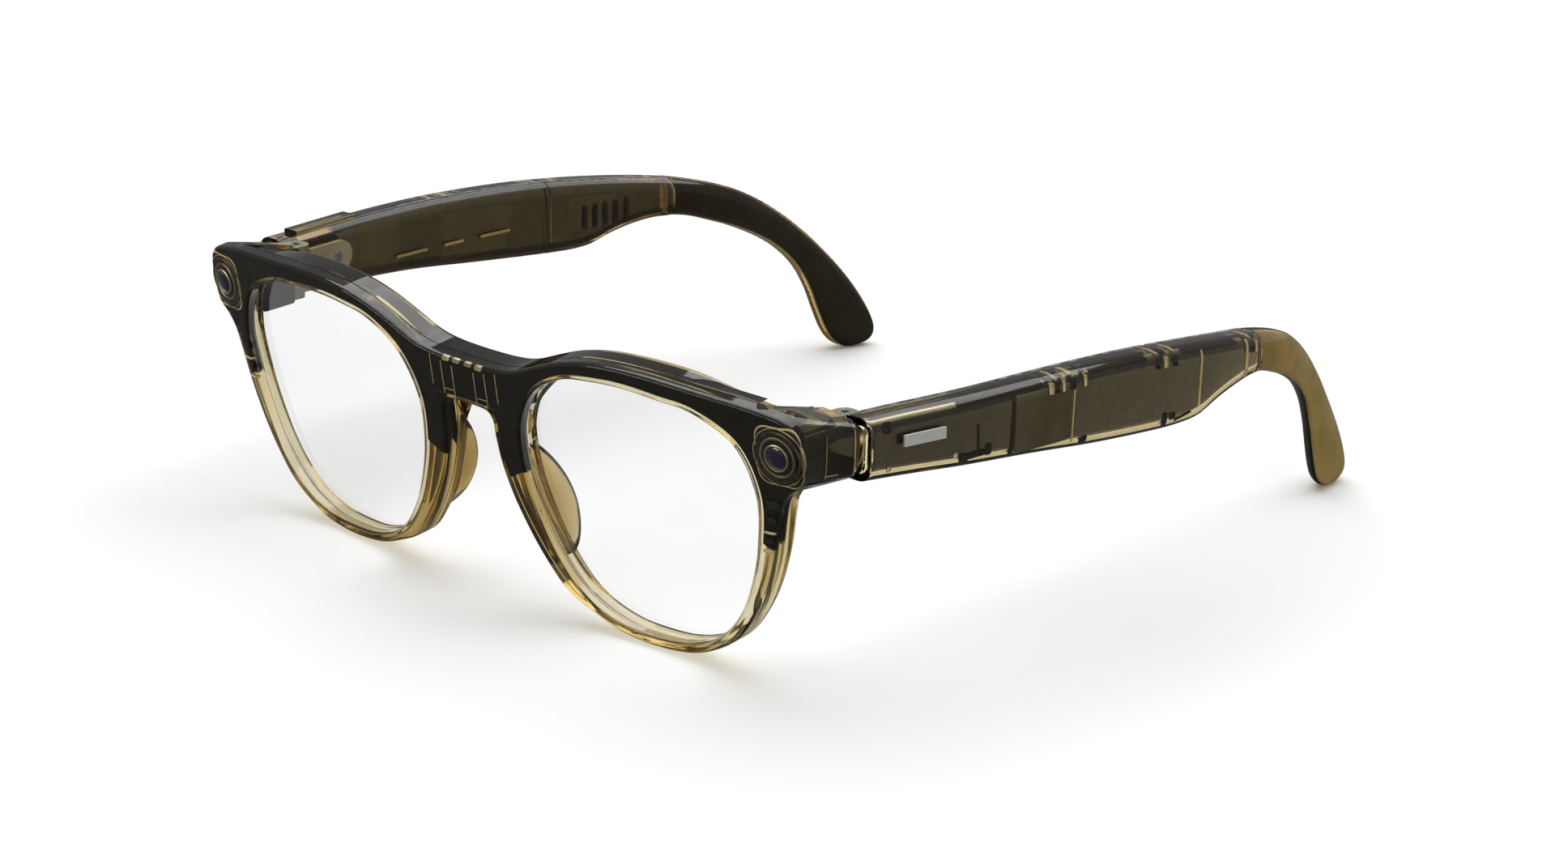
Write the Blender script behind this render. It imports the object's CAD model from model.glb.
"""Smart glasses with a see-through frame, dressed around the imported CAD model.

Lengths in the shape functions are millimetres in the CAD row's own frame: X to the wearer's
left, Y back along the temples, Z up from the ground. They become metres when a mesh is made.
"""

import math

import bmesh
import bpy
import numpy as np
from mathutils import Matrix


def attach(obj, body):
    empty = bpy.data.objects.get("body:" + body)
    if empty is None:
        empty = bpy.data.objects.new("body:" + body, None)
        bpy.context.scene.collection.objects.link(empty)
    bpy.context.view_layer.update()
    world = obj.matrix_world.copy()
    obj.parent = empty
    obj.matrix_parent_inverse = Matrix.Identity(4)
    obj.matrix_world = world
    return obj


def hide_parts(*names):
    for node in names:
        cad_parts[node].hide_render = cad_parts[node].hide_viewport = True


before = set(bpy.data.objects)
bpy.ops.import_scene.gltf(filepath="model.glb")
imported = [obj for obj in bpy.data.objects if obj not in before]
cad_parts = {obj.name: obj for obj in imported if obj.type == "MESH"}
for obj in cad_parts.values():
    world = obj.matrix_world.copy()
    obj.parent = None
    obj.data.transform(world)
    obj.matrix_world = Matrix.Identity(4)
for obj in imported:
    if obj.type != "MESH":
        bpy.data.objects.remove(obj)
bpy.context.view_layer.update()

MM = 0.001
# Front: wrap radius, forward tilt, height of its tilt axis, and the footprint's middle
WRAP_R, TILT, TILT_Z, Y_MID = 483.0, math.radians(9.2), 34.6, 76.1
# Depths behind the front face: seam of the two mouldings, lens seat, groove back, rim and brow
SEAM_D, SEAT_D, GROOVE_D, RIM_D, BROW_D = 2.6, 1.7, 3.55, 5.0, 6.8
LENS_T, LENS_LIP = 1.8, 0.9
# Temple: thickness, tip thickness, stations of its seams, wall, half-thickness share of the lid,
# and the radius of its long edges
ARM_T, TIP_T, SPLIT_Y, SEAM_Y, COVER_Y, WALL, LID_AT = 7.2, 4.6, 16.8, 109.6, 81.0, 1.2, -0.44
ARM_R = 2.6
EYE_X, EYE_Z = 66.0, 38.7
# End piece: where it starts across, the height it narrows to, its wall, and the rear moulding's fall
END_X, END_MID, END_WALL, END_FALL = 62.2, 38.4, 1.3, 1.8

HALF_EDGE = [
    (0, 40.0), (7, 40.2), (12, 41.0), (18, 43.2), (23, 44.8), (30, 46.1), (40, 46.5),
    (52, 46.0), (61, 45.5), (67, 44.7), (69.2, 43.3), (70, 41), (69.9, 37), (69.1, 34.3),
    (67, 32.6), (65.4, 30.6), (64.4, 27.5), (62.8, 21.5), (60.4, 15.4), (57.6, 10.5),
    (54, 5.9), (49.8, 2.9), (44, 0.7), (36.5, 0.0), (29, 0.7), (22.5, 2.9), (18.2, 5.0),
    (14.6, 8.8), (11.5, 13.2), (8.6, 18.6), (6.7, 24), (6.0, 28.6), (5.9, 31),
    (5.0, 32.3), (3.2, 32.7), (0, 32.7),
]
HALF_OPEN = [
    (60.2, 23.4), (60.9, 31.4), (57.7, 38.7), (50.2, 42.3), (43, 43.0), (36.5, 43.4),
    (30.1, 43.1), (23.1, 42.0), (16.2, 38.2), (12.3, 31.3), (12.4, 23.4), (14.7, 16.2),
    (18.0, 10.0), (22.9, 4.9), (29.6, 2.3), (36.5, 1.8), (43.5, 2.4), (50.0, 5.0),
    (55.0, 10.0), (58.2, 16.4),
]
ARM_LINE = [
    (69.1, 14), (70.2, 24), (72.2, 38), (73.2, 54), (73.2, 72), (72.6, 88), (71.2, 102),
    (69.0, 113), (65.9, 125), (62.2, 136), (59.0, 146), (56.4, 157),
]
ARM_TOP = [
    (14, 43.2), (35, 43.3), (51, 43.3), (63, 43.0), (76, 42.3), (89, 41.1), (102, 39.5),
    (112, 37.9), (121.5, 35.4), (128, 32.4), (134, 28.3), (139.5, 23.4), (144, 18.6), (148, 13.8),
    (151.3, 9.0), (153.4, 4.8), (153.6, 2.2), (152.2, 0.6), (149.8, 0.0),
]
ARM_LOW = [
    (149.8, 0.0), (147.0, 0.3), (144.5, 1.8), (142.8, 4.3), (141.2, 8.2), (139.3, 13.2),
    (136.4, 18.2), (131.6, 22.8), (125.4, 26.3), (119, 28.8), (113, 30.7), (107, 31.3), (101, 30.7),
    (96, 29.6), (91.5, 28.3), (86, 28.1), (78, 28.6), (65, 29.7), (50, 31.2), (33, 32.3), (14, 33.4),
]


# ---- camera, light and floor ----
def add_camera():
    data = bpy.data.cameras.new("camera")
    data.sensor_width = 36.0
    data.lens = 94.18
    data.clip_start = 0.01
    data.clip_end = 50.0
    data.dof.use_dof = False
    camera = bpy.data.objects.new("camera", data)
    camera.location = (0.47155, -0.48140, 0.22641)
    camera.rotation_euler = [math.radians(a) for a in (72.4387, -0.7055, 44.8656)]
    bpy.context.scene.collection.objects.link(camera)
    bpy.context.scene.camera = camera


def add_light(name, place, aim, size, power):
    """A square soft box at a place, turned so that its face looks at the aim."""
    data = bpy.data.lights.new(name, "AREA")
    data.shape = "RECTANGLE"
    data.size, data.size_y = size
    data.energy = power
    lamp = bpy.data.objects.new(name, data)
    lamp.location = place
    way = np.array(aim, float) - np.array(place, float)
    flat = math.hypot(way[0], way[1])
    lamp.rotation_euler = (math.atan2(flat, -way[2]), 0, math.atan2(-way[0], way[1]))
    bpy.context.scene.collection.objects.link(lamp)


def add_studio():
    world = bpy.data.worlds.new("studio")
    world.use_nodes = True
    back = world.node_tree.nodes["Background"]
    back.inputs["Color"].default_value = (0.96, 0.98, 1.0, 1)
    back.inputs["Strength"].default_value = 0.28
    bpy.context.scene.world = world
    bpy.context.scene.view_settings.view_transform = "Standard"
    sky = bpy.data.lights.new("sky", "SUN")
    sky.energy = 2.35
    sky.angle = math.radians(75)
    lamp = bpy.data.objects.new("sky", sky)
    lamp.rotation_euler = (math.radians(-14), math.radians(-10), 0)
    bpy.context.scene.collection.objects.link(lamp)
    add_light("top_box", (-0.15, 0.25, 0.75), (0, 0.02, 0.03), (1.1, 0.5), 1.2)
    add_light("side_box", (0.85, 0.1, 0.4), (0.05, 0, 0.03), (0.12, 0.8), 1.2)
    add_light("front_box", (-0.35, -0.8, 0.45), (0, -0.05, 0.03), (0.8, 0.16), 1.3)


# ---- shape helpers ----
def catmull(points, steps, closed=False):
    """Smooth curve through the points: the Catmull-Rom cubic of each four in a row."""
    p = np.array(points, float)
    if closed:
        a, b, c, d = np.roll(p, 1, 0), p, np.roll(p, -1, 0), np.roll(p, -2, 0)
    else:
        far = np.vstack([p[:1], p, p[-1:]])
        a, b, c, d = far[:-3], far[1:-2], far[2:-1], far[3:]
    a, b, c, d = (q[:, None, :] for q in (a, b, c, d))
    t = (np.arange(steps) / steps)[None, :, None]
    curve = 0.5 * (2 * b + (c - a) * t + (2 * a - 5 * b + 4 * c - d) * t**2 + (3 * b - a - 3 * c + d) * t**3)
    curve = curve.reshape(-1, p.shape[1])
    return curve if closed else np.vstack([curve, p[-1:]])


def spread(curve, count):
    """The same open curve with points at even distances along it."""
    run = np.concatenate([[0], np.cumsum(np.linalg.norm(np.diff(curve, axis=0), axis=1))])
    at = np.linspace(0, run[-1], count)
    return np.stack([np.interp(at, run, curve[:, i]) for i in range(curve.shape[1])], 1)


def normals(curve, closed):
    """Unit normals on the left of a plane curve's direction of travel."""
    if closed:
        way = np.roll(curve, -1, 0) - np.roll(curve, 1, 0)
    else:
        way = np.gradient(curve, axis=0)
    way = way / np.linalg.norm(way, axis=1, keepdims=True)
    return np.stack([-way[:, 1], way[:, 0]], 1)


def quads(rows, cols, wrap_rows=False, wrap_cols=False):
    """Faces of a grid of rows by cols points, joined round where a direction wraps."""
    r = np.arange(rows if wrap_rows else rows - 1)[:, None]
    c = np.arange(cols if wrap_cols else cols - 1)[None, :]
    up, on = (r + 1) % rows, (c + 1) % cols
    return np.stack([r * cols + c, r * cols + on, up * cols + on, up * cols + c], -1).reshape(-1, 4)


def smoothstep(low, high, x):
    t = np.clip((x - low) / (high - low), 0, 1)
    return t * t * (3 - 2 * t)


def build(name, points, faces, body, material, stands_for=(), sharp=35.0):
    """Mesh from points and faces: equal points merged, faces turned outwards, ready to ride."""
    mesh = bpy.data.meshes.new(name)
    faces = [list(f) for f in faces]
    used, back = np.unique(np.concatenate([np.array(f) for f in faces]), return_inverse=True)
    ends = np.cumsum([len(f) for f in faces])[:-1]
    faces = [f.tolist() for f in np.split(back.ravel(), ends)]
    mesh.from_pydata((np.asarray(points)[used] * MM).tolist(), [], faces)
    work = bmesh.new()
    work.from_mesh(mesh)
    bmesh.ops.remove_doubles(work, verts=work.verts, dist=2e-7)
    bmesh.ops.dissolve_degenerate(work, edges=work.edges, dist=2e-7)
    bmesh.ops.recalc_face_normals(work, faces=work.faces)
    if work.calc_volume(signed=True) < 0:
        bmesh.ops.reverse_faces(work, faces=work.faces)
    work.to_mesh(mesh)
    work.free()
    mesh.shade_smooth()
    mesh.set_sharp_from_angle(angle=math.radians(sharp))
    mesh.materials.append(material)
    piece = bpy.data.objects.new(name, mesh)
    bpy.context.scene.collection.objects.link(piece)
    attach(piece, body)
    if stands_for:
        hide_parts(*stands_for)
    return piece


def in_frame(local, at, axes):
    """Local points to the object's: at + x * first axis + y * second + z * third."""
    return np.asarray(at, float) + np.asarray(local) @ np.asarray(axes)


def slab_mesh(size, corner, edge, arc=6):
    """Rounded tablet about its middle: a rounded rectangle in X and Y, carried through its
    height with the rim of each face drawn in along a quarter circle of radius edge."""
    length, width, height = size
    turn = np.linspace(0, math.pi / 2, arc)
    ends = [(1, 1, 0), (-1, 1, 1), (-1, -1, 2), (1, -1, 3)]
    lean = np.linspace(0, math.pi / 2, 4)
    inset = np.concatenate([edge * (1 - np.sin(lean)), edge * (1 - np.sin(lean[::-1]))])
    lift = edge * (1 - np.cos(lean)) - height / 2
    level = np.concatenate([lift, -lift[::-1]])
    loops = []
    for sx, sy, k in ends:
        a = turn + k * math.pi / 2
        cx, cy = sx * (length / 2 - corner), sy * (width / 2 - corner)
        reach = np.maximum(corner - inset, 0)[:, None]
        pull = np.maximum(inset - corner, 0)[:, None]
        loops.append(np.stack([
            cx - sx * pull + reach * np.cos(a), cy - sy * pull + reach * np.sin(a),
            np.broadcast_to(level[:, None], (len(level), arc)),
        ], -1))
    grid = np.concatenate(loops, 1)
    rows, cols = grid.shape[:2]
    faces = quads(rows, cols, wrap_cols=True).tolist()
    faces.append(list(range(cols))[::-1])
    faces.append(list(range((rows - 1) * cols, rows * cols)))
    return grid.reshape(-1, 3), faces


def slab(name, at, axes, size, corner, edge, body, material, stands_for=()):
    points, faces = slab_mesh(size, corner, edge)
    return build(name, in_frame(points, at, axes), faces, body, material, stands_for)


def turned_mesh(profile, count=48):
    """Turned shape: a closed profile of radius and height pairs, carried round its axis."""
    p = np.array(profile, float)
    a = np.linspace(0, 2 * math.pi, count, endpoint=False)
    ring = np.stack([np.outer(p[:, 0], np.cos(a)), np.outer(p[:, 0], np.sin(a)),
                     np.repeat(p[:, 1:2], count, 1)], -1)
    return ring.reshape(-1, 3), quads(len(p), count, wrap_rows=True, wrap_cols=True)


def turned(name, at, axes, profile, body, material, stands_for=(), count=48):
    points, faces = turned_mesh(profile, count)
    return build(name, in_frame(points, at, axes), faces, body, material, stands_for)


def mirrored(points):
    return np.asarray(points) * (-1, 1, 1)


# ---- where things sit ----
def sag(x):
    return WRAP_R - np.sqrt(WRAP_R**2 - x**2)


def rise(x, z):
    """Height above the ground to distance up the tilted front face."""
    return (z - TILT_Z - sag(x) * math.sin(TILT)) / math.cos(TILT)


def on_sheet(x, u, depth):
    """Point of the front: x across, u up the tilted face, at a depth behind the wrapped face."""
    y = WRAP_R - np.sqrt((WRAP_R - depth) ** 2 - x**2)
    c, s = math.cos(TILT), math.sin(TILT)
    return np.stack([x, y * c - u * s - Y_MID, y * s + u * c + TILT_Z], -1)


def front_spot(x, z):
    """Place and axes of a spot on the front face: across, up the face, and out of it."""
    u = rise(abs(x), z)
    at = on_sheet(np.array(float(x)), u, 0.0)
    turn = math.asin(x / WRAP_R)
    c, s = math.cos(TILT), math.sin(TILT)
    across = np.array([math.cos(turn), math.sin(turn) * c, math.sin(turn) * s])
    up = np.array([0.0, -s, c])
    return at, np.array([across, up, np.cross(across, up)])


ARM_X = catmull(ARM_LINE, 6)
TOP_Z = catmull(ARM_TOP, 5)
LOW_Z = catmull(ARM_LOW, 5)


def thick(y):
    return ARM_T + (TIP_T - ARM_T) * smoothstep(104, 136, y)


def arm_x(y):
    return np.interp(y, ARM_X[:, 1], ARM_X[:, 0])


def top_z(y):
    near = TOP_Z[TOP_Z[:, 0].argmax() :: -1][::-1]
    return np.interp(y, near[:, 0], near[:, 1])


def low_z(y):
    near = LOW_Z[LOW_Z[:, 1] > 20][::-1]
    return np.interp(y, near[:, 0], near[:, 1])


def arm_spot(s, y, z, share):
    """Place and axes of a spot in a temple at a share of its half thickness: along the arm,
    up, and out of the side that the share's sign names. s is 1 for the wearer's left."""
    x = arm_x(y) + share * thick(y) / 2
    along = np.array([arm_x(y + 2) - arm_x(y - 2), 4.0, 0.0])
    along /= np.linalg.norm(along)
    up = np.array([0.0, 0.0, 1.0])
    out = np.cross(along, up) * (1 if share >= 0 else -1)
    at = np.array([x, y - Y_MID, z])
    flip = np.array([s, 1, 1])
    return at * flip, np.array([along, up, out]) * flip


# ---- the two mouldings of the front ----
def half_loops():
    """Outline and lens opening of the wearer's left half, paired point by point along rays
    from inside the opening, with the outline closed by the middle line of the bridge."""
    outline = catmull([(x, rise(x, z)) for x, z in HALF_EDGE], 7)
    opening = catmull([(x, rise(x, z)) for x, z in HALF_OPEN], 12, closed=True)
    out_way = -normals(outline, closed=False)
    out_way[[0, -1]] = [(0, -1), (0, 1)]
    centre = np.array([36.5, rise(36.5, 34.0)])
    middle = np.linspace(outline[-1], outline[0], 8)[1:-1]
    rays = np.vstack([outline, middle]) - centre
    angle = np.unwrap(np.arctan2(rays[:, 1], rays[:, 0]))
    spokes = opening - centre
    turn = np.arctan2(spokes[:, 1], spokes[:, 0])
    order = np.argsort(turn)
    turn, ring = turn[order], opening[order]
    ring_way = normals(opening, closed=True)[order]
    away = np.sign(np.sum(ring_way * (ring - centre), 1, keepdims=True))
    ring_way = ring_way * away
    wrapped = (angle + math.pi) % (2 * math.pi) - math.pi
    inner = np.stack([np.interp(wrapped, turn, ring[:, i], period=2 * math.pi) for i in (0, 1)], 1)
    inner_way = np.stack([np.interp(wrapped, turn, ring_way[:, i], period=2 * math.pi) for i in (0, 1)], 1)
    return outline, out_way, inner, inner_way, len(middle)


def edge_at(outline, out_way, count, inset):
    """The outline moved inwards by an inset at each point, with the bridge's middle line
    stretched between its two ends."""
    moved = outline + out_way * np.broadcast_to(inset, (len(outline),))[:, None]
    middle = np.linspace(moved[-1], moved[0], count + 2)[1:-1]
    return np.vstack([moved, middle])


def quarter(radius, count=5):
    """Insets and depths of a rounded edge, from its side to its face."""
    a = np.linspace(0, math.pi / 2, count)
    return radius * (1 - np.cos(a)), radius * (1 - np.sin(a))


def end_share(outline, count):
    """1 along the end piece's outline and 0 on the rest of the front."""
    x, u = outline[:, 0], outline[:, 1]
    low = rise(66.5, 32.5)
    share = ((x > END_X) & (u > low)).astype(float)
    return np.concatenate([share, np.zeros(count)])


def end_wall(flat, y_back):
    """Where the end piece's wall reaches the temple: outline points carried straight back to
    y_back while the top falls, the foot rises and the side flares to the temple's section."""
    x, u = flat[:, 0], flat[:, 1]
    z = u * math.cos(TILT) + TILT_Z + sag(x) * math.sin(TILT)
    z = END_MID + (z - END_MID) * np.where(z > END_MID, 0.71, 0.9)
    x = x + 2.1 * np.clip((x - END_X) / 7.8, 0, 1)
    return np.stack([x, np.full_like(x, y_back - Y_MID), z], -1)


def depth_of(flat):
    """Depth of the rear moulding: the rim's, easing to the brow's over the top and bridge."""
    x, z = flat[:, 0], flat[:, 1] * math.cos(TILT) + TILT_Z + sag(flat[:, 0]) * math.sin(TILT)
    low = np.interp(x, [0, 7, 12, 80], [24, 26, 35, 35])
    return RIM_D + (BROW_D - RIM_D) * smoothstep(low, low + 4.5, z)


def front_layer(rear):
    """One moulding of the front: rows of points round its section, for every point of the
    outline. Edges follow quarter circles, and the end piece's wall runs back to the temple."""
    outline, out_way, inner, inner_way, count = half_loops()
    share = end_share(outline, count)
    base = (END_WALL + 0.05) * rear * share[: len(outline)]
    outer_r, inner_r, seam = 0.8, 0.5, 0.08
    edge_in, edge_d = quarter(outer_r)
    rim_in, rim_d = quarter(inner_r)

    lip = seam * (1 - share[: len(outline)])
    # The rear moulding's top falls towards its back edge as it nears the end piece
    on_top = outline[:, 1] > rise(66.5, 38.0)
    fall = END_FALL * smoothstep(44, 62, outline[:, 0]) * on_top * rear

    def outer(inset):
        return edge_at(outline, out_way, count, base + inset)

    rows, skirt = [], []

    def add(flat, depth, is_skirt=False):
        rows.append(on_sheet(flat[:, 0], flat[:, 1], np.broadcast_to(depth, (len(flat),))))
        skirt.append(is_skirt)

    if rear:
        back_out, back_in = depth_of(outer(0)), depth_of(inner)
        first = SEAM_D + 0.02
        add(outer(seam), first, True)
        add(outer(0), first + seam, True)
        add(outer(fall), back_out - outer_r - 0.15, True)
        for i, d in zip(edge_in, edge_d):
            add(outer(fall + i), back_out - d, True)
        start, start_d = outer(fall + outer_r + 0.15), back_out
        stop, stop_d = inner + inner_way * (inner_r + 0.15), back_in
    else:
        first = SEAM_D - 0.02
        add(outer(lip), first, True)
        add(outer(0), first - seam, True)
        add(outer(0), outer_r + 0.15, True)
        for i, d in zip(edge_in, edge_d):
            add(outer(i), d, True)
        start, start_d = outer(outer_r + 0.15), np.zeros(len(inner))
        stop, stop_d = inner + inner_way * (inner_r + 0.15), np.zeros(len(inner))
    skirt[-1] = False
    for f in np.linspace(0, 1, 6):
        add(start + (stop - start) * f, start_d + (stop_d - start_d) * f)
    for i, d in zip(rim_in[::-1], rim_d[::-1]):
        add(inner + inner_way * i, back_in - d if rear else np.full(len(inner), d))
    seat = GROOVE_D if rear else SEAT_D
    add(inner, back_in - inner_r - 0.15 if rear else inner_r + 0.15)
    groove = inner + inner_way * (LENS_LIP + 0.05)
    add(inner, seat)
    add(groove, seat)
    add(groove, first)
    wall_in = seam if rear else lip + END_WALL * share[: len(outline)]
    wall = outer(wall_in)
    for f in (0.35, 0.7):
        add(groove + (wall - groove) * f, first)
    if not rear:
        add(wall, first)
        y_end = SPLIT_Y - 0.35
        reach = share[:, None]
        near, far = rows[-1], end_wall(wall, y_end)
        for f in (0.5, 1.0):
            rows.append(near + (far - near) * f * reach)
        near, far = rows[0], end_wall(outer(0), y_end)
        for f in (1.0, 0.5):
            rows.append(near + (far - near) * f * reach)
        skirt += [False] * 4
    grid = np.stack(rows)
    faces = quads(grid.shape[0], grid.shape[1], wrap_rows=True, wrap_cols=True).reshape(*grid.shape[:2], 4)
    keep = np.ones(grid.shape[:2], bool)
    at_middle = np.zeros(grid.shape[1], bool)
    at_middle[len(outline) - 1 :] = True
    keep[np.ix_(np.array(skirt), at_middle)] = False
    faces = faces[keep]
    points = grid.reshape(-1, 3)
    both = np.vstack([points, mirrored(points)])
    return both, np.vstack([faces, faces[:, ::-1] + len(points)])


def insert_mesh(near, far, out_in, rim_in, low_u, end_x=None):
    """Dark sheet inside a moulding: the band between the outline and the opening, a margin in
    from each, from low_u on the nose side over the top to low_u on the temple side, or to a
    distance across where one is given."""
    outline, out_way, inner, inner_way, count = half_loops()
    loop = edge_at(outline, out_way, count, out_in)
    rim = inner + inner_way * rim_in
    u = loop[:, 1]
    if end_x is None:
        top = int(np.argmax(outline[:, 1]))
        stop = top + int(np.argmax(u[top:] < low_u))
    else:
        stop = int(np.argmax(loop[:, 0] > end_x))
    start = len(outline) - 1 - int(np.argmax(u[len(outline) - 1 :: -1] < low_u))
    chosen = np.concatenate([np.arange(start + 1, len(loop)), np.arange(0, stop)])
    rows = []
    for flat, depth in [(loop, near + 0.1), (loop, far)] + [
            (loop + (rim - loop) * f, far) for f in (0.33, 0.67)] + [(rim, far), (rim, near)] + [
            (rim + (loop - rim) * f, near) for f in (0.33, 0.67)]:
        rows.append(on_sheet(flat[chosen, 0], flat[chosen, 1], np.full(len(chosen), depth)))
    grid = np.stack(rows)
    count_rows, cols = grid.shape[:2]
    faces = quads(count_rows, cols, wrap_rows=True).reshape(count_rows, cols - 1, 4)
    keep = np.ones(faces.shape[:2], bool)
    at_middle = chosen[:-1] >= len(outline) - 1
    keep[0, at_middle] = False
    faces = faces[keep]
    points = grid.reshape(-1, 3)
    both = np.vstack([points, mirrored(points)])
    faces = np.vstack([faces, faces[:, ::-1] + len(points)]).tolist()
    for column in (0, cols - 1):
        cap = [r * cols + column for r in range(count_rows)]
        faces += [cap, [len(points) + i for i in cap[::-1]]]
    return both, faces


# ---- temples ----
def corner_arc(centre, radius, start, stop, count=6):
    """Quarter circle of a section, as pairs of thickness and depth below the top."""
    a = np.radians(np.linspace(start, stop, count))
    return np.stack([centre[0] + radius * np.cos(a), centre[1] - radius * np.sin(a)], -1)


def c_line(height, width, out, start):
    """C-shaped line of a section at an inset from the outside: from a start across the
    thickness over the rounded top, down the outer face and under, back to the same start."""
    h, r = width / 2, ARM_R
    return np.vstack([
        [(start, out), (0, out)], corner_arc((h - r, r), r - out, 90, 0), [(h - out, height / 2)],
        corner_arc((h - r, height - r), r - out, 0, -90), [(0, height - out), (start, height - out)],
    ])


def shell_section(height, width):
    """C-shaped wall of the temple, bevelled at the lid seam: the outside line, then back along
    the inside a wall's thickness in."""
    start, bevel = LID_AT * width / 2, 0.1
    return np.vstack([[(start, bevel)], c_line(height, width, 0, start + bevel), [(start, height - bevel)],
                      c_line(height, width, WALL, start)[::-1]])


def lid_section(height, width):
    """Inner cover of the temple: a flat back at the seam and a face with rounded corners."""
    h, r = width / 2, ARM_R
    n0, bevel = LID_AT * h - 0.05, 0.1
    rows = [[(n0, bevel), (n0 - bevel, 0)], corner_arc((r - h, r), r, 90, 180),
            [(-h, height / 2)], corner_arc((r - h, height - r), r, 180, 270),
            [(n0 - bevel, height), (n0, height - bevel), (n0, height * 0.7), (n0, height * 0.3)]]
    return np.vstack(rows)


def tray_section(height, width):
    """Dark tray inside the outer wall: the wall's inner line, a clearance further in, with its
    own thinner C-shaped wall."""
    out, thin, start = WALL + 0.1, 0.45, LID_AT * width / 2 + 0.1
    return np.vstack([c_line(height, width, out, start), c_line(height, width, out + thin, start)[::-1]])


def plate_section(height, _):
    """Flat dark plate behind the lid, with softened corners."""
    near, far, out, bevel = -1.5, -1.15, WALL + 0.25, 0.12
    top = [(near, out + bevel), (near + bevel, out), (far, out), (far, height / 2)]
    low = [(far, height - out), (near + bevel, height - out), (near, height - out - bevel)]
    return np.array([*top, *low, (near, height / 2)])


def along_arm(section, y0, y1, count, pairs=None, drop=0.0):
    """A section carried back along the temple between two stations. Each end is drawn in a
    little, and closed across the pairs of section points, or by one face. A drop lowers the top
    under the capture button, less and less towards the bottom."""
    y = np.concatenate([[y0], np.linspace(y0 + 0.12, y1 - 0.12, count), [y1]])
    loops = []
    for station in y:
        height = top_z(station) - low_z(station)
        flat = section(height, thick(station))
        low = drop * (smoothstep(17.9, 19.2, station) - smoothstep(37.7, 39.0, station))
        flat[:, 1] += low * (1 - flat[:, 1] / height)
        if station in (y0, y1):
            middle = np.array([0, height / 2])
            flat = flat + (middle - flat) * (0.1 / np.array([thick(station) / 2, height / 2]))
        loops.append(np.stack([arm_x(station) + flat[:, 0], np.full(len(flat), station - Y_MID),
                               top_z(station) - flat[:, 1]], -1))
    grid = np.stack(loops)
    rows, cols = grid.shape[:2]
    faces = quads(rows, cols, wrap_cols=True).tolist()
    for first in (0, (rows - 1) * cols):
        if pairs:
            ring = np.arange(pairs - 1)
            far = cols - 1 - ring
            faces += (first + np.stack([ring, ring + 1, far - 1, far], -1)).tolist()
        else:
            faces.append(list(range(first, first + cols)))
    return grid.reshape(-1, 3), faces


def hook_lines(start, top_gap, low_gap, count):
    """Top and bottom lines of the ear hook from a station on, with points at even distances."""
    top = np.vstack([[(start, top_z(start))], TOP_Z[TOP_Z[:, 0] > SEAM_Y + top_gap]])
    stop = np.argmax((LOW_Z[:, 0] < SEAM_Y + low_gap) & (LOW_Z[:, 1] > 20))
    low = np.vstack([[(start, low_z(start))], LOW_Z[:stop][::-1]])
    return spread(top, count), spread(low, count)


def hook_mesh():
    """Ear hook: slices from the top line to the bottom line, each as thick as the temple there
    and rounded over by its distance from the nearer line, closing in one point at the tip."""
    across = 22
    top, low = hook_lines(SEAM_Y + 0.05, 0.3, 0.05, 90)
    w = 0.5 * (1 - np.cos(np.linspace(0, math.pi, across)))
    side = top[:, None] + (low - top)[:, None] * w[None, :, None]
    rim = np.vstack([spread(top, 400), spread(low, 400)])
    gap = np.sqrt(((side[:, :, None] - rim[None, None]) ** 2).sum(-1)).min(-1)
    t = thick(side[..., 0])
    r = np.minimum(ARM_R, t / 2 - 0.05)
    round_off = np.sqrt(np.maximum(r**2 - (r - np.minimum(gap, r)) ** 2, 0))
    half = t / 2 - r + round_off
    x = arm_x(side[..., 0])
    outer = np.stack([x + half, side[..., 0] - Y_MID, side[..., 1]], -1)
    inner = np.stack([x - half, side[..., 0] - Y_MID, side[..., 1]], -1)[:, ::-1]
    grid = np.concatenate([outer, inner], 1)
    rows, cols = grid.shape[:2]
    faces = quads(rows, cols, wrap_cols=True).tolist()
    ring = np.arange(cols // 2 - 1)
    faces += np.stack([ring, ring + 1, cols - 2 - ring, cols - 1 - ring], -1).tolist()
    return grid.reshape(-1, 3), faces


def core_mesh(offset, half, margin):
    """Flat core of the ear hook: slices between the top and bottom lines, a margin in from
    each and as wide as is left, with softened long edges, an offset out from the middle."""
    slices, kept = 110, 104
    top, low = hook_lines(SEAM_Y + 1.5, 2, 2, slices)
    top, low = top[:kept], low[:kept]
    span = low - top
    size = np.linalg.norm(span, axis=1, keepdims=True)
    way = span / size
    outer = np.array([(0, 0.6), (0.15, 1), (0.5, 1), (0.85, 1), (1, 0.6)])
    profile = np.vstack([outer, outer[::-1] * (1, -1)])
    inner, room = top + way * margin, np.maximum(size - 2 * margin, 0.5)
    side = inner[:, None] + way[:, None] * room[:, None] * profile[None, :, :1]
    x = arm_x(side[..., 0]) + offset + half * profile[None, :, 1]
    grid = np.stack([x, side[..., 0] - Y_MID, side[..., 1]], -1)
    rows, cols = grid.shape[:2]
    faces = quads(rows, cols, wrap_cols=True).tolist()
    faces += [list(range(cols))[::-1], list(range((rows - 1) * cols, rows * cols))]
    return grid.reshape(-1, 3), faces


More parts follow.
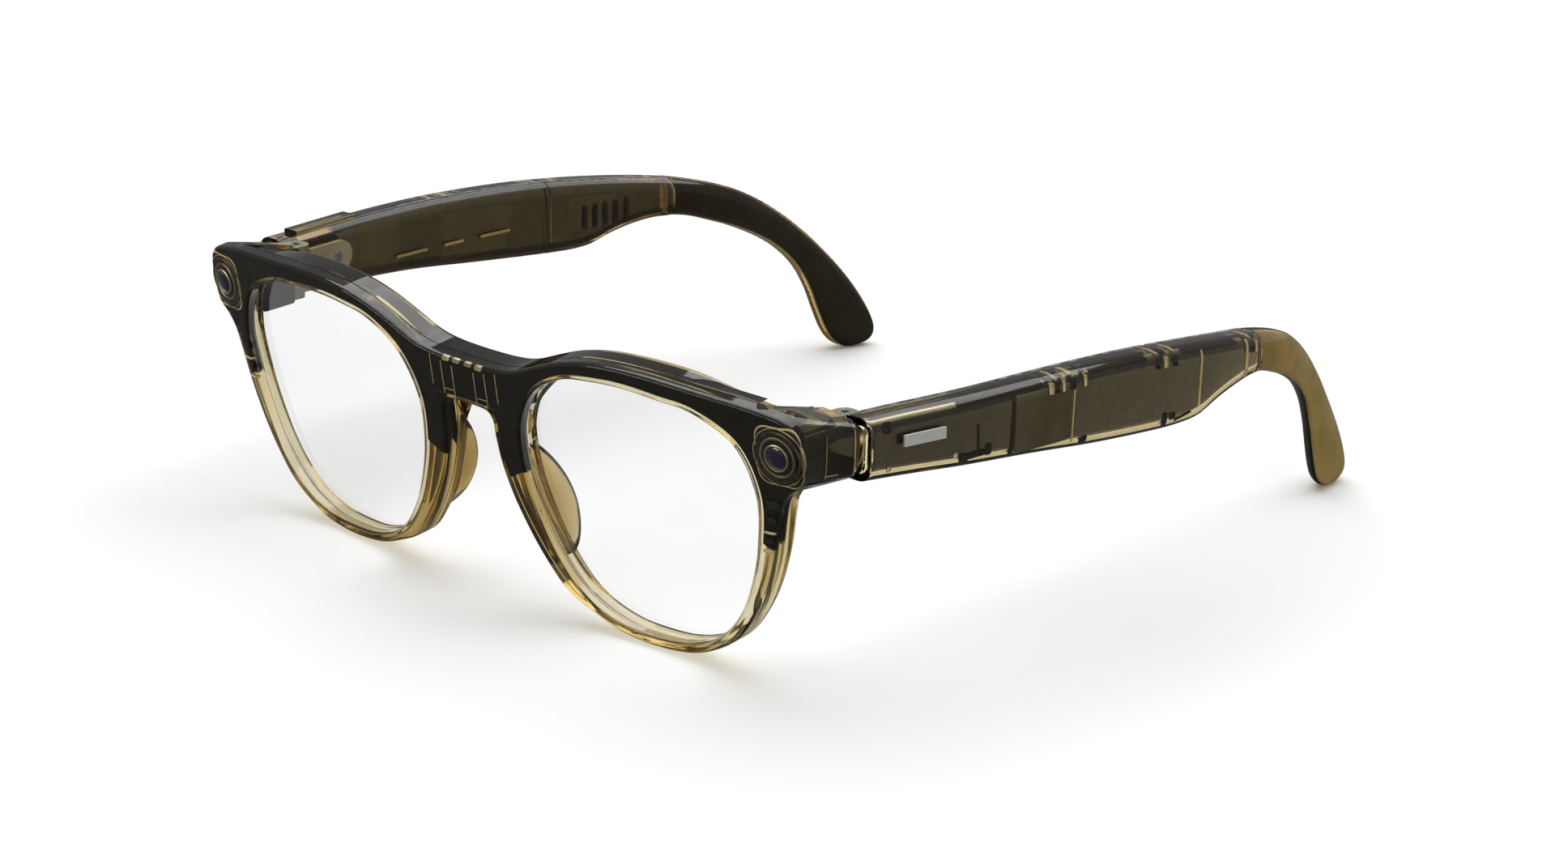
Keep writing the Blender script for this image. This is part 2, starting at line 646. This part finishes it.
# ---- lenses and nose pads ----
def lens_mesh():
    """Lens: the opening grown by its lip, drawn in ring by ring to the middle on the front and
    back faces of the wrapped sheet, with a small bevel at the rim."""
    ring = catmull([(x, rise(x, z)) for x, z in HALF_OPEN], 10, closed=True)
    way = normals(ring, closed=True)
    centre = np.array([36.5, rise(36.5, 23.0)])
    way *= np.sign(np.sum(way * (ring - centre), 1, keepdims=True))
    rim, bevel = ring + way * LENS_LIP, 0.2
    rows = []
    for depth, turn in ((SEAT_D, 1), (SEAT_D + LENS_T, -1)):
        scale = np.sqrt(np.linspace(0, 1, 12))[::turn]
        face = [on_sheet(*(centre + (ring - centre) * f).T, depth) for f in scale]
        lip = [on_sheet(*(rim - way * bevel).T, depth), on_sheet(*rim.T, depth + turn * bevel)]
        rows += face + lip if turn > 0 else lip[::-1] + face
    grid = np.stack(rows)
    return grid.reshape(-1, 3), quads(len(rows), len(ring), wrap_cols=True)


def pad_mesh():
    """Nose pad: slices down the nose side of the rim. Each is a tongue that runs back from the
    rim by a half sine of its place, with a rounded rear edge and a thickness that eases in."""
    count, around = 44, 26
    root = catmull([(8.5, 27.6), (9.5, 23.5), (11.0, 18.6), (13.2, 13.4), (16.0, 9.2)], 12)
    root = spread(root, count)
    f = np.linspace(0, 1, count)
    reach = 5.6 * np.sin(math.pi * np.clip(f, 0.0, 1.0)) ** 0.62
    half = 2.0 * np.sin(math.pi * np.clip(f, 0.0, 1.0)) ** 0.45
    base = on_sheet(root[:, 0], rise(root[:, 0], root[:, 1]), np.full(count, RIM_D - 0.5))
    a = np.linspace(-math.pi / 2, math.pi / 2, around)
    across = np.sin(a)[None, :, None] * half[:, None, None] * np.array([0.95, 0.12, 0.3])
    share = (0.35 + 0.65 * np.cos(a) ** 0.7)[None, :, None]
    back = reach[:, None, None] * share * np.array([0.16, 1.0, -0.02])
    tongue = base[:, None] + across + back
    grid = np.concatenate([tongue, base[:, None] + across[:, ::-1] * 0.96], 1)
    return grid.reshape(-1, 3), quads(count, 2 * around, wrap_cols=True)


# ---- materials ----
def tone(red, green, blue):
    """A display colour of 0 to 255 a channel, as the linear colour that shaders take."""
    c = np.array([red, green, blue]) / 255
    return (*np.where(c <= 0.04045, c / 12.92, ((c + 0.055) / 1.055) ** 2.4).tolist(), 1.0)


def add_node(tree, kind, settings=None, **sockets):
    """A shader node with its settings and socket values. A socket takes a number, a colour or
    another node's output; i0 is the first socket, and underscores in a name are spaces."""
    made = tree.nodes.new("ShaderNode" + kind)
    for key, value in (settings or {}).items():
        setattr(made, key, value)
    for key, value in sockets.items():
        by_number = key[0] == "i" and key[1:].isdigit()
        socket = made.inputs[int(key[1:]) if by_number else key.replace("_", " ")]
        if isinstance(value, bpy.types.NodeSocket):
            tree.links.new(value, socket)
        else:
            socket.default_value = value
    return made


def new_group(name, inputs, outputs):
    """An empty node group with named number or vector sockets."""
    group = bpy.data.node_groups.new(name, "ShaderNodeTree")
    kinds = {"f": "NodeSocketFloat", "v": "NodeSocketVector"}
    for label, kind in inputs:
        group.interface.new_socket(label, in_out="INPUT", socket_type=kinds[kind])
    for label in outputs:
        group.interface.new_socket(label, in_out="OUTPUT", socket_type=kinds["f"])
    return group, group.nodes.new("NodeGroupInput").outputs, group.nodes.new("NodeGroupOutput").inputs


def break_up_group():
    """Fine grain, broad unevenness and smudges between them: three noises, each at its own
    scale, in the piece's own space."""
    group, take, give = new_group("break_up", [("Grain Scale", "f"), ("Broad Scale", "f")],
                                  ["Grain", "Broad", "Smudge"])
    place = add_node(group, "TexCoord").outputs["Object"]
    grain = add_node(group, "TexNoise", Vector=place, Scale=take["Grain Scale"], Detail=4.0, Roughness=0.6)
    broad = add_node(group, "TexNoise", Vector=place, Scale=take["Broad Scale"], Detail=2.0, Roughness=0.5)
    often = add_node(group, "Math", {"operation": "MULTIPLY"}, i0=take["Broad Scale"], i1=6.3)
    smudge = add_node(group, "TexNoise", Vector=place, Scale=often.outputs[0], Detail=5.0, Roughness=0.7)
    for label, made in (("Grain", grain), ("Broad", broad), ("Smudge", smudge)):
        soft = add_node(group, "MapRange", Value=made.outputs["Fac"], From_Min=0.3, From_Max=0.7)
        group.links.new(soft.outputs["Result"], give[label])
    return group


def bands_group():
    """Straight bands: 1 on a share of each pitch along a direction, with soft edges."""
    group, take, give = new_group("bands", [("Way", "v"), ("Pitch", "f"), ("Share", "f")], ["Mask"])
    place = add_node(group, "TexCoord").outputs["Object"]
    along = add_node(group, "VectorMath", {"operation": "DOT_PRODUCT"}, i0=place, i1=take["Way"])
    turns = add_node(group, "Math", {"operation": "DIVIDE"}, i0=along.outputs["Value"], i1=take["Pitch"])
    saw = add_node(group, "Math", {"operation": "PINGPONG"}, i0=turns.outputs[0], i1=0.5)
    edge = add_node(group, "Math", {"operation": "MULTIPLY"}, i0=take["Share"], i1=0.5)
    high = add_node(group, "Math", {"operation": "ADD"}, i0=edge.outputs[0], i1=0.04)
    mask = add_node(group, "MapRange", Value=saw.outputs[0], From_Min=edge.outputs[0],
                    From_Max=high.outputs[0], To_Min=1.0, To_Max=0.0)
    group.links.new(mask.outputs["Result"], give["Mask"])
    return group


def cells_group():
    """A grid of small round holes or pads: 1 inside each one."""
    group, take, give = new_group("cells", [("Pitch", "f"), ("Size", "f")], ["Mask"])
    place = add_node(group, "TexCoord").outputs["Object"]
    times = add_node(group, "Math", {"operation": "DIVIDE"}, i0=1.0, i1=take["Pitch"])
    spots = add_node(group, "TexVoronoi", {"feature": "F1"}, Vector=place, Scale=times.outputs[0],
                     Randomness=0.0)
    high = add_node(group, "Math", {"operation": "ADD"}, i0=take["Size"], i1=0.06)
    mask = add_node(group, "MapRange", Value=spots.outputs["Distance"], From_Min=take["Size"],
                    From_Max=high.outputs[0], To_Min=1.0, To_Max=0.0)
    group.links.new(mask.outputs["Result"], give["Mask"])
    return group


GROUPS = {"break_up": break_up_group(), "bands": bands_group(), "cells": cells_group()}


def use_group(tree, name, **sockets):
    made = tree.nodes.new("ShaderNodeGroup")
    made.node_tree = GROUPS[name]
    for key, value in sockets.items():
        made.inputs[key.replace("_", " ")].default_value = value
    return made.outputs


def mix_colours(tree, mask, first, second):
    mix = add_node(tree, "Mix", {"data_type": "RGBA"})
    tree.links.new(mask, mix.inputs["Factor"])
    for socket, value in ((mix.inputs[6], first), (mix.inputs[7], second)):
        if isinstance(value, bpy.types.NodeSocket):
            tree.links.new(value, socket)
        else:
            socket.default_value = value
    return mix.outputs[2]


def start_material(name):
    material = bpy.data.materials.new(name)
    material.use_nodes = True
    tree = material.node_tree
    tree.nodes.clear()
    return material, tree


def finish_surface(tree, colour, rough, grain, sockets, smudge, height=None, depth=2e-6):
    """The Principled shader, with roughness moved between two values by the smudges and a
    bump from the grain or another height."""
    way = add_node(tree, "MapRange", Value=smudge, To_Min=rough[0], To_Max=rough[1])
    bump = add_node(tree, "Bump", Height=height or grain, Distance=depth, Strength=1.0)
    shader = add_node(tree, "BsdfPrincipled", Base_Color=colour, Roughness=way.outputs["Result"],
                      Normal=bump.outputs["Normal"], **sockets)
    return shader.outputs["BSDF"]


def solid(name, first, second, rough, grain_scale=4000.0, broad_scale=150.0, depth=2e-6, pattern=None,
          **sockets):
    """An opaque finish: two tones blended by the broad noise, uneven gloss and a fine grain. A
    pattern is a group's name, its values, the colour it lays on, and its height."""
    material, tree = start_material(name)
    mess = use_group(tree, "break_up", Grain_Scale=grain_scale, Broad_Scale=broad_scale)
    colour = mix_colours(tree, mess["Broad"], first, second)
    height = None
    if pattern:
        mask = use_group(tree, pattern[0], **pattern[1])["Mask"]
        colour = mix_colours(tree, mask, colour, pattern[2])
        raised = add_node(tree, "Math", {"operation": "MULTIPLY_ADD"}, i0=mask, i1=pattern[3],
                          i2=mess["Grain"])
        height = raised.outputs[0]
    shader = finish_surface(tree, colour, rough, mess["Grain"], sockets, mess["Smudge"], height, depth)
    add_node(tree, "OutputMaterial", Surface=shader)
    return material


def clear(name, first, second, rough, absorb, density, depth=2e-7, ior=1.49, lamp=(0.74, 0.74, 0.76, 1),
          **sockets):
    """Clear plastic or glass: transmission with a faint waviness, its colour from absorption
    in the thickness, and lamp rays let through so that what is inside is lit."""
    material, tree = start_material(name)
    mess = use_group(tree, "break_up", Grain_Scale=900.0, Broad_Scale=60.0)
    colour = mix_colours(tree, mess["Broad"], first, second)
    values = {"IOR": ior, "Transmission_Weight": 1.0, "Metallic": 0.0, **sockets}
    shader = finish_surface(tree, colour, rough, mess["Broad"], values, mess["Smudge"], depth=depth)
    pass_by = add_node(tree, "BsdfTransparent", Color=lamp)
    rays = add_node(tree, "LightPath").outputs["Is Shadow Ray"]
    mixed = add_node(tree, "MixShader", Fac=rays, i1=shader, i2=pass_by.outputs[0])
    out = add_node(tree, "OutputMaterial", Surface=mixed.outputs[0])
    inside = add_node(tree, "VolumeAbsorption", Color=absorb, Density=density)
    tree.links.new(inside.outputs[0], out.inputs["Volume"])
    return material


SMOKE = clear("smoke_plastic", (0.99, 0.985, 0.96, 1), (0.97, 0.96, 0.93, 1), (0.015, 0.05),
              (0.70, 0.585, 0.22, 1), 480.0)
LENS = clear("lens_glass", (1, 1, 1, 1), (0.985, 0.995, 0.99, 1), (0.0, 0.02),
             (0.93, 0.97, 0.95, 1), 30.0, depth=1e-7, ior=1.45, lamp=(0.96, 0.96, 0.96, 1), Coat_Weight=0.2,
             Coat_Roughness=0.02)
PAD = clear("pad_plastic", (0.97, 0.95, 0.88, 1), (0.94, 0.91, 0.82, 1), (0.05, 0.14),
            (0.70, 0.59, 0.26, 1), 700.0, depth=1e-6)
DARK = solid("dark_carrier", tone(38, 31, 18), tone(27, 21, 12), (0.22, 0.45), 5200.0, depth=3e-6,
             Specular_IOR_Level=0.16)
PANEL = solid("panel_plastic", tone(60, 50, 30), tone(48, 40, 24), (0.25, 0.45), 4200.0, depth=2e-6,
              Specular_IOR_Level=0.2)
KHAKI = solid("hook_sheet", tone(212, 200, 160), tone(186, 172, 130), (0.3, 0.5), 3000.0, depth=2e-6)
PALE = solid("pale_metal", tone(236, 224, 190), tone(214, 196, 150), (0.25, 0.4), 3000.0, depth=2e-6,
             Metallic=0.8)
BADGE = solid("polished_bar", tone(246, 246, 242), tone(232, 232, 228), (0.15, 0.3), 5200.0, depth=1e-6,
              Metallic=0.1)
CHIP = solid("chip_resin", tone(24, 23, 20), tone(14, 14, 12), (0.2, 0.4), 4200.0, depth=3e-6,
             Specular_IOR_Level=0.2)
INSERT = solid("insert_plastic", tone(24, 22, 17), tone(14, 13, 9), (0.12, 0.3), 3000.0, depth=1e-6,
               Specular_IOR_Level=0.08)
FLEX = solid("flex_ribbon", tone(96, 78, 44), tone(74, 58, 30), (0.2, 0.42), 2500.0,
             pattern=("bands", {"Way": (1.0, 0.35, 0.0), "Pitch": 0.0011, "Share": 0.42},
                      tone(150, 124, 72), 0.8),
             depth=6e-6, Metallic=0.6)
PADS_GOLD = solid("contact_gold", tone(226, 184, 96), tone(205, 158, 70), (0.16, 0.34), 2600.0, Metallic=1.0)
HINGE = solid("hinge_metal", tone(214, 196, 156), tone(190, 168, 124), (0.22, 0.42), 3800.0, depth=3e-6,
              Metallic=1.0)
STEEL = solid("bright_steel", tone(208, 208, 204), tone(176, 178, 178), (0.18, 0.38), 5200.0, depth=2e-6,
              Metallic=1.0)
BOARD = solid("board_resist", tone(24, 44, 30), tone(16, 32, 22), (0.22, 0.42), 2200.0,
              pattern=("bands", {"Way": (0.0, 1.0, 0.6), "Pitch": 0.0009, "Share": 0.3},
                       tone(52, 78, 46), 1.2),
              depth=1.2e-5)
CELL_DARK = solid("battery_wrap", tone(84, 80, 66), tone(66, 62, 50), (0.3, 0.5), 900.0, depth=1.5e-5)
CELL = solid("battery_foil", tone(150, 149, 143), tone(112, 110, 104), (0.25, 0.5), 700.0, depth=2.5e-5,
             Metallic=0.85)
BLACK = solid("black_glass", tone(12, 12, 14), tone(8, 8, 10), (0.03, 0.1), 1500.0, depth=3e-7,
              Coat_Weight=1.0, Coat_Roughness=0.03)
EYE = solid("coated_lens", tone(20, 26, 52), tone(52, 24, 64), (0.02, 0.06), 1200.0, 900.0, depth=1e-7,
            Coat_Weight=1.0, Coat_Roughness=0.02)
MESH = solid("speaker_mesh", tone(40, 38, 34), tone(30, 28, 25), (0.35, 0.55), 3000.0,
             pattern=("cells", {"Pitch": 0.00042, "Size": 0.3}, tone(5, 5, 5), -2.5),
             depth=3e-5, Metallic=0.6)


def studio_floor():
    """White sheet under the object. What is mirrored in the gloss is a darker sheet, as the
    black flags of a studio make it."""
    material, tree = start_material("studio_floor")
    mess = use_group(tree, "break_up", Grain_Scale=300.0, Broad_Scale=3.0)
    pale = mix_colours(tree, mess["Broad"], (0.87, 0.87, 0.87, 1), (0.85, 0.85, 0.85, 1))
    sheet = add_node(tree, "BsdfDiffuse", Color=pale)
    flag = add_node(tree, "BsdfDiffuse", Color=(0.1, 0.1, 0.1, 1))
    rays = add_node(tree, "LightPath").outputs["Is Reflection Ray"]
    both = add_node(tree, "MixShader", Fac=rays, i1=sheet.outputs[0], i2=flag.outputs[0])
    add_node(tree, "OutputMaterial", Surface=both.outputs[0])
    return material


FLOOR = studio_floor()
NODE_FINISH = {
    "front_flex": FLEX, "bridge_board": BOARD, "bridge_mic": STEEL,
    "charge_contacts": PADS_GOLD, "camera_module": DARK, "led_board": BOARD,
    "hinge_front": HINGE, "hinge_screw": STEEL, "hinge_temple": PALE,
    "battery": CELL, "main_board": BOARD, "aux_board": BOARD, "processor_shield": STEEL,
    "radio_shield": STEEL, "speaker": DARK, "side_flex": FLEX, "touchpad": PANEL,
    "badge": BADGE, "plate_screw": STEEL, "capture_button": SMOKE, "power_switch": DARK,
}
for name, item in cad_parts.items():
    stem = name.replace("_left", "").replace("_right", "")
    if stem in NODE_FINISH:
        for place in item.material_slots:
            place.material = NODE_FINISH[stem]


# ---- assembly ----
def build_front():
    for name, rear, node in (("front_moulding", False, "front_shell"), ("rear_moulding", True, "rear_cover")):
        points, faces = front_layer(rear)
        build(name, points, faces, "front", SMOKE, [node])
    for side, s in (("left", 1), ("right", -1)):
        flip = np.array([s, 1, 1])
        points, faces = lens_mesh()
        build(f"clear_lens_{side}", points * flip, faces, "front", LENS, [f"lens_{side}"])
        points, faces = pad_mesh()
        build(f"soft_pad_{side}", points * flip, faces, "front", PAD, [f"nose_pad_{side}"])
    points, faces = insert_mesh(0.95, 1.62, 0.7, 0.75, rise(0, 21.2))
    build("dark_insert", points, faces, "front", INSERT, ["front_insert"])
    points, faces = insert_mesh(3.95, 6.1, 1.0, 1.3, rise(0, 35.0), end_x=60.0)
    build("brow_insert", points, faces, "front", INSERT)


def build_eye(s):
    """Camera or capture light: a domed lens in a thin bright rim, a black barrel, stepped rings
    set in the face, and a squared carrier with a bright edge behind them."""
    at, axes = front_spot(s * EYE_X, EYE_Z)
    kind, nodes = ("camera", ["camera_lens"]) if s > 0 else ("led", ["led_light"])
    dome = [(0, 0.62), (0.6, 0.59), (1.15, 0.48), (1.6, 0.28), (1.88, 0.02), (1.88, -0.6), (0, -0.6)]
    turned(f"{kind}_dome", at, axes, dome, "front", EYE, nodes)
    rim = [(1.9, -0.4), (1.9, 0.18), (1.98, 0.3), (2.1, 0.34), (2.2, 0.26), (2.24, 0.1), (2.24, -0.4)]
    turned(f"{kind}_rim", at, axes, rim, "front", PALE, ["camera_ring"] if s > 0 else ())
    barrel = [(2.26, -1.2), (2.26, 0.06), (2.34, 0.16), (2.8, 0.05), (2.88, -0.05), (2.88, -1.2)]
    turned(f"{kind}_barrel", at, axes, barrel, "front", BLACK, [f"{kind}_window"])
    rings = ((2.92, 3.3, 0.05, HINGE), (3.34, 3.96, -0.22, CHIP), (4.0, 4.12, -0.12, HINGE),
             (4.55, 4.7, -0.5, PALE))
    for number, (inner, outer, high, material) in enumerate(rings):
        ring = [(inner, high - 0.5), (inner, high - 0.06), (inner + 0.06, high), (outer - 0.06, high),
                (outer, high - 0.06), (outer, high - 0.5)]
        turned(f"{kind}_ring_{number}", at, axes, ring, "front", material)
    plates = (("edge", (8.5, 9.6, 0.24), 0.82, PALE), ("carrier", (8.1, 9.2, 0.3), 0.74, CHIP))
    for label, size, deep, material in plates:
        slab(f"{kind}_{label}", at - axes[2] * deep, axes, size, 2.2, 0.08, "front", material)


def dress_end(side, s):
    """Inside of an end piece: a dark side board with a few parts, plates above, below and
    towards the lens, and two stacks of contacts behind the outer front corner. Then the chips
    down the rim's temple side and the bright parts at the bridge."""
    flip = np.array([s, 1, 1])
    turn = math.radians(8.5)
    along = np.array([math.sin(turn), math.cos(turn), 0])
    up = np.array([0.0, 0.0, 1.0])
    axes = np.array([along, up, np.cross(along, up)])

    def place(label, x, y, z, size, corner, material, slot="dark_plastic", way=axes):
        at = np.array([x, y - Y_MID, z]) * flip
        slab(f"{label}_{side}", at, way * flip, size, corner, 0.08, "front", material)

    place("end_board", 69.25, 10.8, 38.2, (9.8, 7.8, 0.5), 0.5, CHIP)
    place("end_shield", 69.65, 12.9, 38.6, (3.2, 5.2, 0.3), 0.3, DARK)
    place("end_line", 69.6, 10.4, 38.0, (0.14, 6.6, 0.2), 0.05, PALE, "gold_foil")
    place("end_trace", 69.62, 11.6, 35.3, (2.6, 0.16, 0.2), 0.05, PALE, "gold_foil")
    place("end_seam", 70.35, 15.6, 38.4, (0.22, 8.0, 0.3), 0.08, PALE, "gold_foil")
    flat = np.array([along, np.cross(up, along), up])
    place("end_roof", 65.9, 9.3, 42.35, (8.4, 5.6, 0.4), 0.6, DARK, way=flat)
    place("end_floor", 66.6, 9.8, 34.6, (8.4, 4.4, 0.4), 0.6, DARK, way=flat)
    place("end_inner_wall", 61.45, 12.5, 38.5, (7.6, 9.4, 1.1), 0.6, DARK)
    for number in range(10):
        column, row = divmod(number, 5)
        place(f"contact_{number}", 68.15 + 0.22 * column, 5.9 + 1.2 * column, 35.9 + 1.3 * row,
              (0.5, 0.95, 0.4), 0.15, PALE if row % 2 == column % 2 else PADS_GOLD, "gold_foil")
    rim_chips = ((30.4, 1.5, 2.1), (27.7, 1.2, 1.5), (25.6, 0.5, 1.9), (24.2, 1.0, 1.3), (22.4, 0.5, 1.7))
    for number, (z, tall, wide) in enumerate(rim_chips):
        x = np.interp(z, [21.5, 27.5, 32.6], [61.7, 63.0, 64.4])
        at, face = front_spot(s * x, z)
        slab(f"rim_chip_{number}_{side}", at - face[2] * 0.75, face, (wide, tall, 0.3), 0.2, 0.08, "front",
             (CHIP, PALE)[number in (2, 4)])
    bridge_parts = (
        (1.4, 39.6, (1.7, 0.7, 0.5)), (3.9, 39.5, (1.7, 0.7, 0.5)), (2.6, 36.0, (0.16, 5.2, 0.2)),
        (5.2, 36.2, (0.16, 5.6, 0.2)), (7.8, 36.9, (0.16, 5.0, 0.2)), (4.0, 34.3, (2.2, 0.16, 0.2)),
    )
    for number, (x, z, size) in enumerate(bridge_parts):
        at, face = front_spot(s * x, z)
        corner = min(size[:2]) * 0.4
        slab(f"bridge_part_{number}_{side}", at - face[2] * 0.72, face, size, corner, 0.05, "front",
             PALE)


def build_temple(side, s):
    flip, body = np.array([s, 1, 1]), f"temple_{side}"
    shapes = (
        ("outer_wall", along_arm(shell_section, SPLIT_Y, SEAM_Y, 60, pairs=19), "temple_shell"),
        ("long_lid", along_arm(lid_section, SPLIT_Y, COVER_Y, 44), "inner_cover"),
        ("speaker_lid", along_arm(lid_section, COVER_Y + 0.05, SEAM_Y, 24), "speaker_cover"),
        ("ear_piece", hook_mesh(), "ear_hook"),
    )
    for label, (points, faces), node in shapes:
        build(f"{label}_{side}", points * flip, faces, body, SMOKE, [f"{node}_{side}"])
    points, faces = along_arm(tray_section, SPLIT_Y + 1.6, SEAM_Y - 1.6, 60, pairs=16, drop=1.1 * (s < 0))
    build(f"dark_tray_{side}", points * flip, faces, body, DARK, [f"chassis_{side}"])
    points, faces = along_arm(plate_section, 31.8, SEAM_Y - 2.2, 50)
    build(f"inner_plate_{side}", points * flip, faces, body, DARK)
    points, faces = core_mesh(-0.62, 0.45, 0.85)
    build(f"hook_blade_{side}", points * flip, faces, body, DARK, [f"hook_core_{side}"])
    points, faces = core_mesh(0.32, 0.45, 1.3)
    build(f"hook_sheet_{side}", points * flip, faces, body, KHAKI)


def tab(name, side, y, z, share, size, corner, edge, material, turn=0.0, stands_for=()):
    """A small tablet laid on a layer of a temple, turned in the face by some degrees."""
    s = 1 if side == "left" else -1
    at, axes = arm_spot(s, y, z, share)
    c, n = math.cos(math.radians(turn)), math.sin(math.radians(turn))
    axes = np.array([c * axes[0] + n * axes[1], c * axes[1] - n * axes[0], axes[2]])
    return slab(f"{name}_{side}", at, axes, size, corner, edge, f"temple_{side}", material, stands_for)


def dress_temple(side):
    """What shows through the plastic: battery shoulder, bars, clips, tracks and studs on the
    tray, rails under the top, and panels, plain bars and speaker slots on the inner side. Each
    is laid by its station along the arm and its height."""
    outside, inside = 0.66, -0.4
    lean = math.degrees(math.atan2(top_z(60) - top_z(45), 15))
    tab("battery_cover", side, 52, 36.9, 0.63, (12.4, 8.8, 0.5), 0.5, 0.2, CELL_DARK, lean)
    tab("battery_lip", side, 45.4, 36.9, 0.62, (0.9, 9.4, 0.5), 0.2, 0.1, DARK, -4)
    bars = (("seam_bar", 58.9, 36.6, 9.6, 0.34, -3), ("tall_bar", 91.0, 35.0, 9.0, 0.62, -3),
            ("end_bar", 104.8, 35.1, 6.2, 1.0, -2))
    for label, y, z, tall, wide, turn in bars:
        tab(label, side, y, z, outside, (wide, tall, 0.22), wide * 0.3, 0.06, PALE, turn)
    for number, y in enumerate((53.6, 55.0, 56.4, 58.6, 61.4, 79.6, 81.4, 84.0, 104.6, 106.2, 107.8)):
        z = top_z(y) - 1.15
        lean = math.degrees(math.atan2(top_z(y + 1) - top_z(y - 1), 2))
        long = 0.75 if number % 3 else 1.2
        tab(f"top_clip_{number}", side, y, z - 0.9, 0.74, (long, 1.7, 0.5), 0.15, 0.08,
            CHIP if number % 2 else PALE, lean - 4)
        tab(f"top_hook_{number}", side, y + 0.1, z + 0.22, 0.15, (long * 0.9, 0.3, 3.0), 0.1, 0.06,
            PALE if number % 2 else CHIP, lean)
    low_tracks = (
        (81.6, 1.9, 1.3, 2.6, 0), (83.6, 2.4, 1.6, 1.1, 0), (86.4, 1.9, 4.4, 0.35, 6),
        (37.6, 2.1, 5.2, 1.0, 2), (35.4, 1.7, 1.8, 1.7, 2), (40.3, 2.6, 1.4, 1.8, 2),
        (38.2, 4.6, 0.5, 4.2, 2), (61.4, 1.6, 1.8, 0.9, 2),
    )
    for number, (y, up, long, tall, turn) in enumerate(low_tracks):
        tab(f"low_track_{number}", side, y, low_z(y) + up, outside, (long, tall, 0.3),
            min(long, tall) * 0.3, 0.08, CHIP, turn)
    tab("corner_chip", side, 20.6, 41.2, outside, (1.6, 1.6, 0.3), 0.3, 0.08, CHIP, 0)
    for number, (y, z) in enumerate(((21.0, 34.9), (33.8, 34.6))):
        tab(f"stud_{number}", side, y, z, outside, (0.9, 0.9, 0.3), 0.44, 0.08, STEEL, 0)
    for number, (y, long) in enumerate(((43.5, 18), (70.0, 14), (94.0, 16))):
        z = 0.5 * (top_z(y - long / 2) + top_z(y + long / 2)) - 0.42
        turn = math.degrees(math.atan2(top_z(y + long / 2) - top_z(y - long / 2), long))
        tab(f"top_rail_{number}", side, y, z - 0.95, 0.1, (long, 0.5, 3.6), 0.2, 0.12, DARK, turn)
    panels = (("front_panel", 40.5, 36.6, 13.0, 8.4, 1.2), ("mid_panel", 63.0, 35.8, 28.0, 8.0, 0.6),
              ("mid_frame", 66.0, 36.6, 13.0, 5.6, 0.5), ("speaker_rim", 92.0, 34.8, 13.0, 6.0, 2.4))
    for label, y, z, long, tall, corner in panels:
        turn = math.degrees(math.atan2(top_z(y + 5) - top_z(y - 5), 10)) * 0.8
        tab(label, side, y, z, inside, (long, tall, 0.26), corner, 0.1, PANEL, turn)
    for number, (y, long) in enumerate(((48.5, 7.5), (58.6, 4.6), (68.4, 7.0))):
        tab(f"mark_bar_{number}", side, y, 34.7, -0.7, (long, 0.55, 0.12), 0.2, 0.05, KHAKI, 0)
    for number in range(5):
        y = 90 + 2.4 * number
        tab(f"speaker_slot_{number}", side, y, 33.9, -0.56, (0.9, 4.4, 0.16), 0.44, 0.06, MESH, 0)


def build_floor():
    span = np.array([[-1, -1], [1, -1], [1, 1], [-1, 1]]) * 6.0
    mesh = bpy.data.meshes.new("floor")
    mesh.from_pydata([(x, y, 0.0) for x, y in span], [], [(0, 1, 2, 3)])
    mesh.materials.append(FLOOR)
    floor = bpy.data.objects.new("floor", mesh)
    bpy.context.scene.collection.objects.link(floor)


add_camera()
add_studio()
build_floor()
build_front()
for side, s in (("left", 1), ("right", -1)):
    build_temple(side, s)
    dress_temple(side)
    build_eye(s)
    dress_end(side, s)
